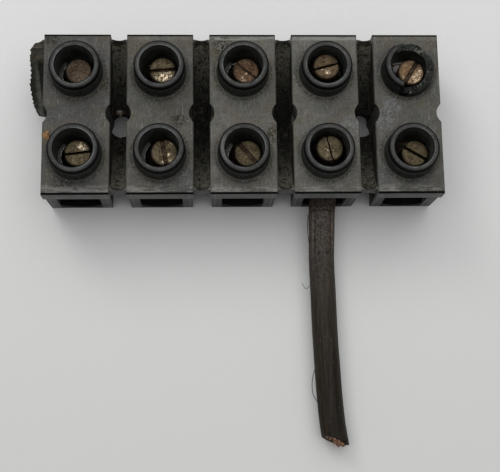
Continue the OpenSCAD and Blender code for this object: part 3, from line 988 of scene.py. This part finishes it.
def well_ledge(row, pole, start, end):
    """A flash of moulding standing in from a well's wall, with a bright bead painted as a glint on
    its edge.
    """
    centre = Vector((pole_x(pole), COLLAR_Y if row == "back" else -COLLAR_Y, 0))
    outline = [(LEDGE_R, LEDGE_Z - LEDGE_H), (LEDGE_R, LEDGE_Z),
               (WELL_R, LEDGE_Z + 0.05 * MM), (2.68 * MM, LEDGE_Z - LEDGE_H)]
    ledge = swept_arc(centre, start, end, outline)
    finished(f"well_ledge_{row}_{pole}", ledge, MOULDING, "strip", smooth=False)
    bead = [(LEDGE_R + BEAD_R * math.cos(turn), LEDGE_Z + BEAD_R * math.sin(turn))
            for turn in (math.tau * i / BEAD_SIDES for i in range(BEAD_SIDES))]
    glint = swept_arc(centre, start + 8, end - 8, bead)
    finished(f"ledge_glint_{row}_{pole}", glint, GLINT, "strip")


well_ledge("back", 1, 132, 222)
well_ledge("back", 3, 130, 200)
well_ledge("front", 1, 132, 215)
well_ledge("front", 2, 126, 200)
well_ledge("front", 3, 132, 205)

# ---------------------------------------------------------------------------
# Wire

WIRE_D = 3.8 * MM
ROUTE = [Vector(p) * MM for p in (
    (11.7, -9.4, 4.1), (11.55, -10.9, 4.1), (11.42, -12.4, 3.95), (11.36, -14, 3.6),
    (11.38, -15.8, 3.1), (11.34, -17.6, 2.65), (11.32, -19.5, 2.25), (11.38, -21.5, 2),
    (11.44, -23.5, 1.9), (11.48, -26, 1.9), (11.53, -29, 1.9), (11.62, -32, 1.9),
    (11.75, -35, 1.9), (11.9, -38, 1.9), (12.08, -41, 1.9), (12.3, -43.4, 1.9),
    (12.6, -45.4, 1.9))]
WIRE_SIDES = 72
STEP = 0.25 * MM
PAST_END = 0.9 * MM
LOOK_AROUND = 5


def stations():
    """Points and directions close together along the route and a little past its end."""
    places = []
    for first, second in zip(ROUTE, ROUTE[1:]):
        count = max(1, round((second - first).length / STEP))
        places += [first.lerp(second, i / count) for i in range(count)]
    places += [ROUTE[-1], ROUTE[-1] + (ROUTE[-1] - ROUTE[-2]).normalized() * PAST_END]
    last = len(places) - 1
    ways = [(places[min(i + LOOK_AROUND, last)] - places[max(i - LOOK_AROUND, 0)]).normalized()
            for i in range(len(places))]
    return list(zip(places, ways))


def sleeve_radius(turn, y):
    """The sleeve's radius at an angle round it: lengthwise folds, seams and a nick."""
    at = y / MM
    fold = 0.014 * math.cos(5 * turn + 0.6) + 0.008 * math.cos(11 * turn + 0.03 * at)
    seam = 0.035 * math.exp(-((turn - math.radians(158)) / 0.07) ** 2)
    frayed = max(0.0, min(1.0, (at + 24) / 6))
    tatter = 0.05 + 0.06 * noise.noise(Vector((at * 2.2, 1, 0)))
    ragged = frayed * tatter * math.exp(-((turn - math.radians(28)) / 0.09) ** 2)
    grain = 0.012 * noise.noise(Vector((turn * 9, at * 0.25, 0)))
    scale = frayed * 0.02 * noise.noise(Vector((turn * 12, at * 3, 4)))
    nick = 0.07 * math.exp(-((at + 13 + 0.1 * math.sin(3 * turn)) / 0.1) ** 2) * (turn < math.pi)
    swell = 0.04 * max(0.0, min(1.0, (at + 17) / 4)) - 0.02
    return WIRE_D / 2 * (0.975 + swell + fold + seam + ragged + grain + scale - nick)


CUT_AT = ROUTE[-1] + Vector((0, -0.05, 0)) * MM
CUT_WAY = Vector((-0.36, -0.92, 0.15)).normalized()


def wire_sleeve():
    """A grid rolled round the route, cut off at a slant."""
    places = stations()
    shape = bmesh.new()
    bmesh.ops.create_grid(shape, x_segments=WIRE_SIDES, y_segments=len(places) - 1, size=1)
    for vertex in shape.verts:
        turn = (vertex.co.x + 1) * math.pi
        place, way = places[round((vertex.co.y + 1) / 2 * (len(places) - 1))]
        side = Vector((0, 0, 1)).cross(way).normalized()
        up = way.cross(side)
        reach = sleeve_radius(turn % math.tau, place.y)
        vertex.co = place + (side * math.cos(turn) + up * math.sin(turn)) * reach
        vertex.co.z = max(vertex.co.z, 0.01 * MM)
    weld(shape)
    bmesh.ops.bisect_plane(shape, geom=all_of(shape), plane_co=CUT_AT, plane_no=CUT_WAY,
                           clear_outer=True)
    ends = [edge for edge in shape.edges if edge.is_boundary]
    caps = bmesh.ops.holes_fill(shape, edges=ends, sides=0)["faces"]
    mouth = [face for face in caps if face.calc_center_median().y < -40 * MM]
    bmesh.ops.inset_region(shape, faces=mouth, thickness=0.45 * MM, depth=-0.12 * MM)
    piece = finished("wire_sleeve", shape, INSULATION, "strip")
    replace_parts(piece, "wire_insulation")
    return piece


def wire_strands():
    """Fine copper strands that stand a little out of the slanted cut."""
    chance = random.Random(4)
    shape = bmesh.new()
    way = (ROUTE[-1] - ROUTE[-2]).normalized()
    side = Vector((0, 0, 1)).cross(way).normalized()
    up = way.cross(side)
    for ring, count in ((0.0, 1), (0.5, 6), (1.0, 12)):
        for i in range(count):
            turn = math.tau * i / count + chance.uniform(-0.1, 0.1)
            foot = CUT_AT + (side * math.cos(turn) + up * math.sin(turn)) * ring * MM
            foot -= way * ((foot - CUT_AT).dot(CUT_WAY) / way.dot(CUT_WAY))
            proud = chance.uniform(0.15, 0.55) * MM if foot.x > CUT_AT.x - 0.2 * MM else -0.1 * MM
            lean = way + side * chance.uniform(-0.12, 0.12) + up * chance.uniform(-0.1, 0.1)
            lean.normalize()
            length = 1.2 * MM + proud
            middle = foot + lean * (proud - length / 2)
            turned = lean.to_track_quat("Z", "Y").to_matrix().to_4x4()
            bmesh.ops.create_cone(shape, cap_ends=True, segments=10, radius1=0.23 * MM,
                                  radius2=0.21 * MM, depth=length,
                                  matrix=Matrix.Translation(middle) @ turned)
    return finished("wire_strands", shape, COPPER, "strip")


def fibre(name, points, thickness):
    """A loose hair of the sleeve through points in millimetres."""
    curve = bpy.data.curves.new(name, "CURVE")
    curve.dimensions = "3D"
    curve.bevel_depth = thickness / 2
    curve.bevel_resolution = 2
    curve.use_fill_caps = True
    spline = curve.splines.new("NURBS")
    spline.points.add(len(points) - 1)
    for point, place in zip(spline.points, points):
        point.co = (*(Vector(place) * MM), 1)
    spline.use_endpoint_u = True
    spline.order_u = 3
    piece = bpy.data.objects.new(name, curve)
    bpy.context.scene.collection.objects.link(piece)
    curve.materials.append(INSULATION)
    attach(piece, "strip")


sleeve = wire_sleeve()
strands = wire_strands()
fibre("fibre_low", ((10.2, -34.8, 1.9), (9.7, -36.2, 1.5), (9.55, -38.0, 1.2), (9.8, -39.4, 1.3),
                    (10.6, -40.4, 1.9)), 0.09 * MM)
fibre("fibre_curl", ((9.75, -23.2, 2.0), (9.2, -23.9, 1.6), (8.8, -23.6, 1.4), (8.5, -22.9, 1.5)),
      0.07 * MM)
fibre("fibre_seam", ((9.45, -13.2, 3.6), (9.3, -15.0, 3.0), (9.45, -16.6, 2.9), (9.6, -17.6, 2.6)),
      0.1 * MM)

# ---------------------------------------------------------------------------
# Studio

def studio():
    """A pale table, a soft room, a wide ceiling light and a small window."""
    floor = bpy.data.meshes.new("floor")
    shape = bmesh.new()
    bmesh.ops.create_grid(shape, x_segments=1, y_segments=1, size=1.5)
    shape.to_mesh(floor)
    shape.free()
    table = bpy.data.objects.new("floor", floor)
    bpy.context.scene.collection.objects.link(table)
    dress(table, floor_finish())

    world = bpy.data.worlds.new("room")
    bpy.context.scene.world = world
    world.use_nodes = True
    background = world.node_tree.nodes["Background"]
    background.inputs["Color"].default_value = (0.96, 0.98, 1.0, 1)
    background.inputs["Strength"].default_value = 0.3

    for name, place, size, power, colour in (
        ("ceiling", (0.0, 0.3, 0.9), 1.6, 11.0, (1, 1, 1)),
        ("window", (-0.35, 0.5, 0.5), 0.3, 1.2, (1, 0.99, 0.97)),
    ):
        light = bpy.data.lights.new(name, "AREA")
        light.size = size
        light.energy = power
        light.color = colour
        lamp = bpy.data.objects.new(name, light)
        lamp.location = place
        lamp.rotation_euler = (-Vector(place)).to_track_quat("-Z", "Y").to_euler()
        bpy.context.scene.collection.objects.link(lamp)
    bpy.context.scene.view_settings.view_transform = "Standard"


studio()
